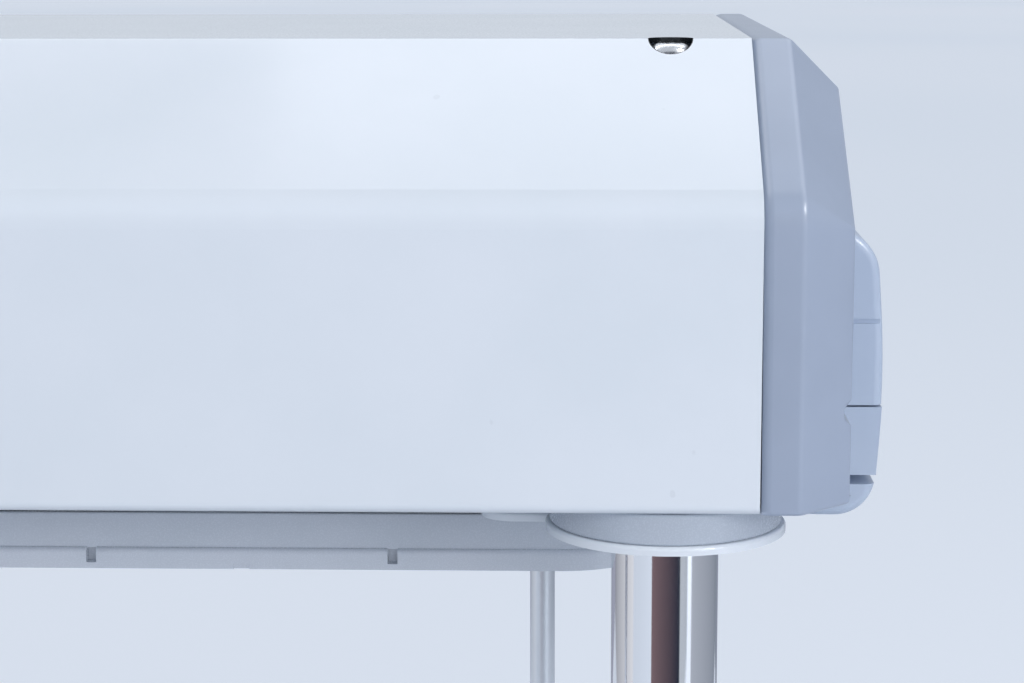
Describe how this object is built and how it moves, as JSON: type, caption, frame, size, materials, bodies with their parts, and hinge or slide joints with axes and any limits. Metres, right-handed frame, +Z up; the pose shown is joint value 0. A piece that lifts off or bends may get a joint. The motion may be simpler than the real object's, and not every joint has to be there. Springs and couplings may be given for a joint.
{
  "type": "dental vacuum former",
  "caption": "Bench-top vacuum former: a heater head on chromed columns over a perforated platen, with a sliding sheet carriage, side handles and a control panel.",
  "frame": {"origin": "bottom centre of the part's box, on the surface that the feet stand on", "axes": "+Z up, front with the control panel towards -Y, +X to the right seen from the front"},
  "size_m": [0.3334, 0.342, 0.458],
  "materials": {
    "frame_enamel": "satin powder coat",
    "white_enamel": "satin powder coat",
    "grey_moulding": "fine textured moulding",
    "chromed_steel": "polished",
    "zinc_steel": "zinc plated",
    "aluminium": "bead blasted and anodised",
    "polished_aluminium": "bright",
    "steatite": "fired",
    "quartz": "clear",
    "resistance_wire": "oxidised",
    "mineral_wool": "pressed board",
    "bearing_polymer": "smooth",
    "silicone": "satin",
    "black_rubber": "matt",
    "spring_steel": "bright wire",
    "panel_film": "fine grain",
    "black_plastic": "satin",
    "knob_plastic": "fine grain",
    "lamp_lens": "clear",
    "cast_aluminium": "as cast",
    "foam_rubber": "closed cell"
  },
  "bodies": {
    "frame": {"head_cover": "white_enamel", "end_cap_left": "grey_moulding", "end_cap_right": "grey_moulding", "head_chassis": "zinc_steel", "cover_brackets": "zinc_steel", "head_screws": "chromed_steel", "heater_reflector": "polished_aluminium", "tube_holders": "steatite", "quartz_tubes": "quartz", "heating_coils": "resistance_wire", "heater_insulation": "mineral_wool", "post_left": "chromed_steel", "post_right": "chromed_steel", "guide_rod": "chromed_steel", "column_nuts": "zinc_steel", "base_cover": "white_enamel", "base_cap_left": "grey_moulding", "base_cap_right": "grey_moulding", "base_plate": "zinc_steel", "feet": "black_rubber", "column_sockets": "cast_aluminium", "column_trims": "grey_moulding", "control_panel": "panel_film", "switch_bodies": "black_plastic", "timer_body": "black_plastic", "indicator_lamps": "lamp_lens", "power_inlet": "black_plastic", "platen": "aluminium", "platen_seal": "silicone", "vacuum_chamber": "cast_aluminium", "fan_seal": "foam_rubber", "fan_housing": "cast_aluminium", "motor_frame": "cast_aluminium", "motor_mount": "black_rubber"},
    "carriage": {"carriage_plate_left": "white_enamel", "carriage_plate_right": "white_enamel", "post_bushing_left": "white_enamel", "post_bushing_right": "white_enamel", "bushing_liners": "bearing_polymer", "rod_bushing": "bearing_polymer", "guide_columns": "chromed_steel", "clamp_springs": "spring_steel", "lower_clamp_frame": "frame_enamel", "frame_gasket": "silicone", "handle_left": "grey_moulding", "handle_right": "grey_moulding", "latch_pins": "chromed_steel", "latch_springs": "spring_steel", "handle_screws": "chromed_steel"},
    "clamp": {"upper_clamp_frame": "frame_enamel"},
    "latch_left": {"latch_lever_left": "grey_moulding"},
    "latch_right": {"latch_lever_right": "grey_moulding"},
    "power_switch": {"power_rocker": "black_plastic"},
    "vacuum_switch": {"vacuum_rocker": "black_plastic"},
    "dial": {"timer_dial": "knob_plastic", "dial_shaft": "zinc_steel"},
    "rotor": {"impeller": "cast_aluminium", "motor_shaft": "zinc_steel"}
  },
  "joints": [
    {"name": "carriage_slide", "type": "slide", "parent": "frame", "child": "carriage", "axis": [0, 0, 1], "range_m": [-0.192, 0]},
    {"name": "clamp_lift", "type": "slide", "parent": "carriage", "child": "clamp", "axis": [0, 0, 1], "range_m": [0, 0.007], "stiffness_N_per_m": 1500, "springref_m": -0.004, "deforming": ["clamp_springs"]},
    {"name": "latch_left_squeeze", "type": "hinge", "parent": "carriage", "child": "latch_left", "pos_m": [-0.1532, 0.035, 0.363], "axis": [0, -1, 0], "range_deg": [0, 8], "stiffness_Nm_per_rad": 0.6, "springref_deg": -5.73},
    {"name": "latch_right_squeeze", "type": "hinge", "parent": "carriage", "child": "latch_right", "pos_m": [0.1532, 0.035, 0.363], "axis": [0, 1, 0], "range_deg": [0, 8], "stiffness_Nm_per_rad": 0.6, "springref_deg": -5.73},
    {"name": "power_rock", "type": "hinge", "parent": "frame", "child": "power_switch", "pos_m": [-0.052, -0.1425, 0.096], "axis": [-1, 0, 0], "range_deg": [0, 12]},
    {"name": "vacuum_rock", "type": "hinge", "parent": "frame", "child": "vacuum_switch", "pos_m": [0.052, -0.1425, 0.096], "axis": [-1, 0, 0], "range_deg": [0, 12]},
    {"name": "dial_turn", "type": "hinge", "parent": "frame", "child": "dial", "pos_m": [0, -0.1425, 0.096], "axis": [0, 0.7775, -0.6289], "range_deg": [0, 270]},
    {"name": "fan_spin", "type": "hinge", "parent": "frame", "child": "rotor", "pos_m": [0, 0.0275, 0.09], "axis": [0, 0, 1], "continuous": true}
  ]
}
